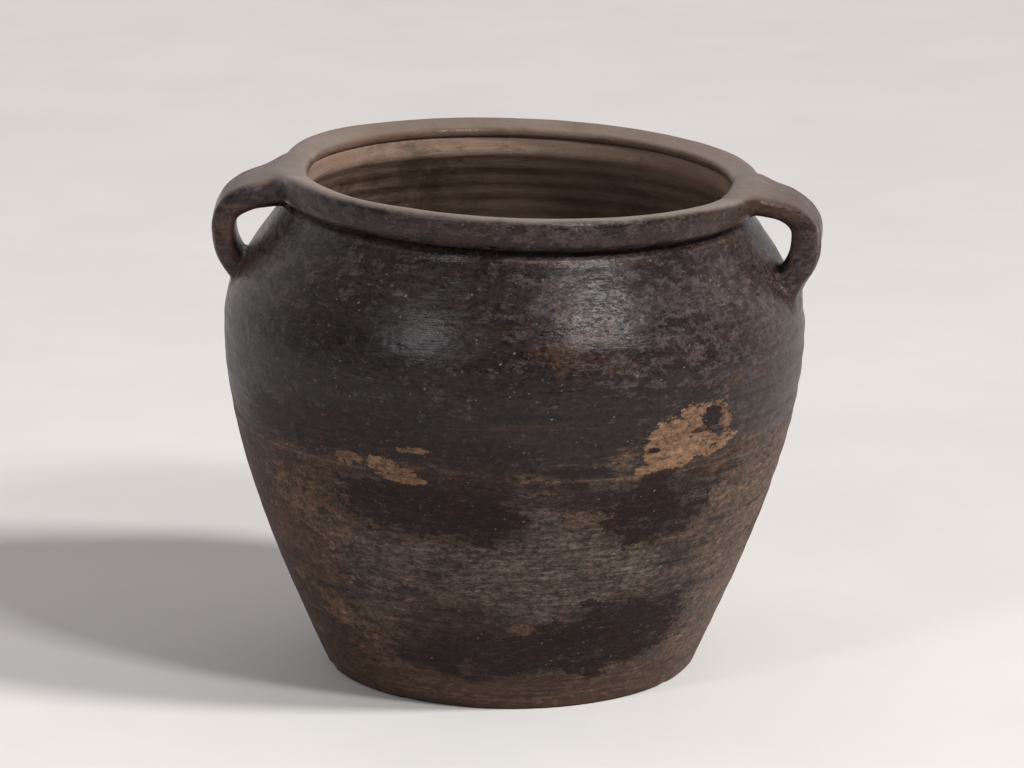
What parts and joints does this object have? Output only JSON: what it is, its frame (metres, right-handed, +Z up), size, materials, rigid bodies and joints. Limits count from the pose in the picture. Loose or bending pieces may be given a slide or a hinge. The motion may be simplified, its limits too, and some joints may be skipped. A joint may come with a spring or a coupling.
{
  "type": "two-handled clay pot",
  "caption": "Wide-mouthed hand-thrown black clay storage pot: flat foot, swelling belly, short shoulder, rolled rim and a strap handle on each side.",
  "frame": {"origin": "centre of the flat underside of the foot, on the surface the pot stands on", "axes": "+Z up through the mouth; X runs through the handles, the right handle (turned about 9 degrees towards -Y) on +X and the left one on -X; -Y is the front that faces the viewer. The pot leans a little towards +X."},
  "size_m": [0.3126, 0.3002, 0.2654],
  "materials": {
    "fired_clay": "worn satin",
    "foot_clay": "matte",
    "rim_clay": "worn satin",
    "handle_clay": "matte"
  },
  "bodies": {
    "root": {"floor_slab": "foot_clay", "lower_wall": "fired_clay", "upper_wall": "fired_clay", "rim_collar": "rim_clay", "left_handle": "handle_clay", "right_handle": "handle_clay", "left_handle_pad": "handle_clay", "right_handle_pad": "handle_clay"}
  },
  "joints": []
}
